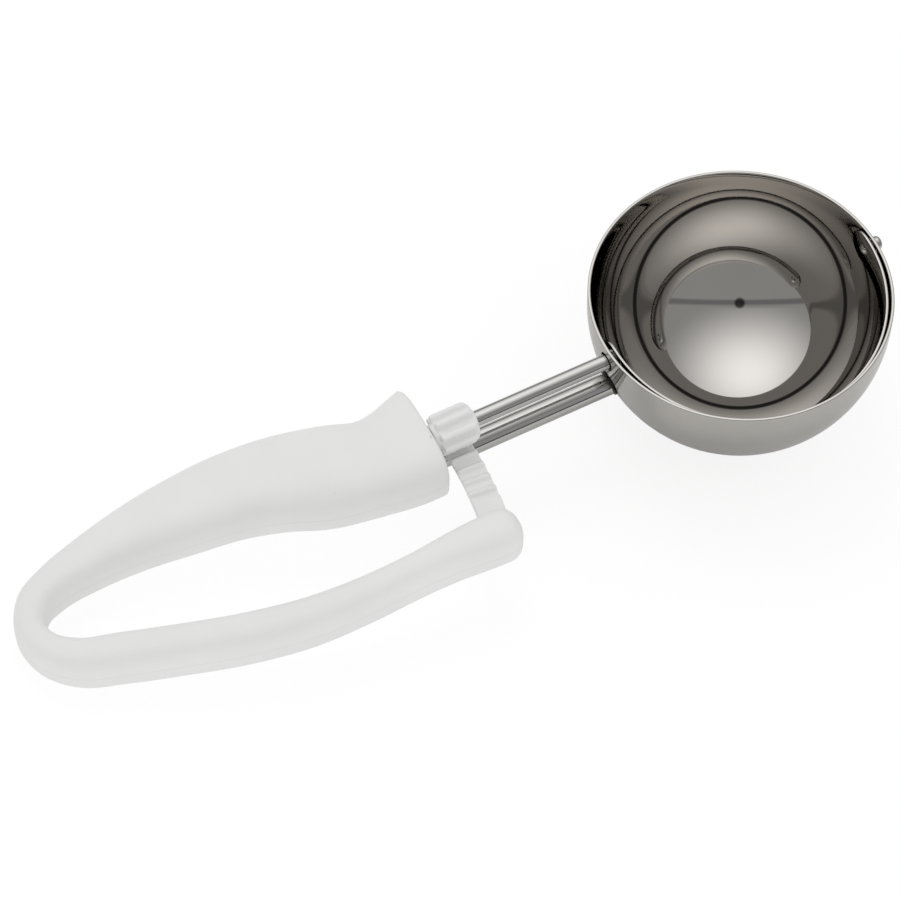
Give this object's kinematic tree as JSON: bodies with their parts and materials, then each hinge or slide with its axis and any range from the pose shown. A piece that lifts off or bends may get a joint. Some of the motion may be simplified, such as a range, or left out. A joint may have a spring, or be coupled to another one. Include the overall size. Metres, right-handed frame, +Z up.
{
  "type": "lever ice cream scoop",
  "caption": "Hand scoop with a round steel bowl, a sweeping release blade and a one-piece springy squeeze handle that drives it through a toothed strap and pinion.",
  "frame": {"origin": "middle of the underside, on the table that the bowl and the handle's tail rest on", "axes": "+X from the handle's tail to the bowl, +Z up as the scoop lies on a table with its bowl open upwards, the squeeze lever on the -Y side; the shaft rises towards the bowl by 7.86 degrees"},
  "size_m": [0.2372, 0.0764, 0.0483],
  "materials": {
    "polished_bowl": "polished stainless",
    "polished_bar": "bright drawn stainless",
    "white_moulding": "fine matte moulded",
    "white_gear": "satin moulded"
  },
  "bodies": {
    "scoop_body": {"bowl": "polished_bowl", "shank": "polished_bar", "shank_weld": "polished_bar", "handle_grip": "white_moulding"},
    "lever": {"handle_bow": "white_moulding", "handle_lever": "white_moulding", "gear_strap": "white_gear"},
    "blade_drive": {"pinion": "white_gear", "blade_shaft": "polished_bar", "sweep_blade": "polished_bowl", "pivot_pin": "polished_bar"}
  },
  "joints": [
    {"name": "lever_squeeze", "type": "hinge", "parent": "scoop_body", "child": "lever", "pos_m": [-0.11081, -0.0035, 0.00707], "axis": [-0.1368, 0, 0.9906], "range_deg": [0, 7.05], "stiffness_Nm_per_rad": 18, "deforming": ["handle_bow"]},
    {"name": "blade_turn", "type": "hinge", "parent": "scoop_body", "child": "blade_drive", "pos_m": [0.0779, 0, 0.03831], "axis": [0.9906, 0, 0.1368], "range_deg": [0, 170.2]}
  ],
  "couplings": [
    {"joint": "blade_turn", "follows": "lever_squeeze", "ratio": 24.117}
  ]
}
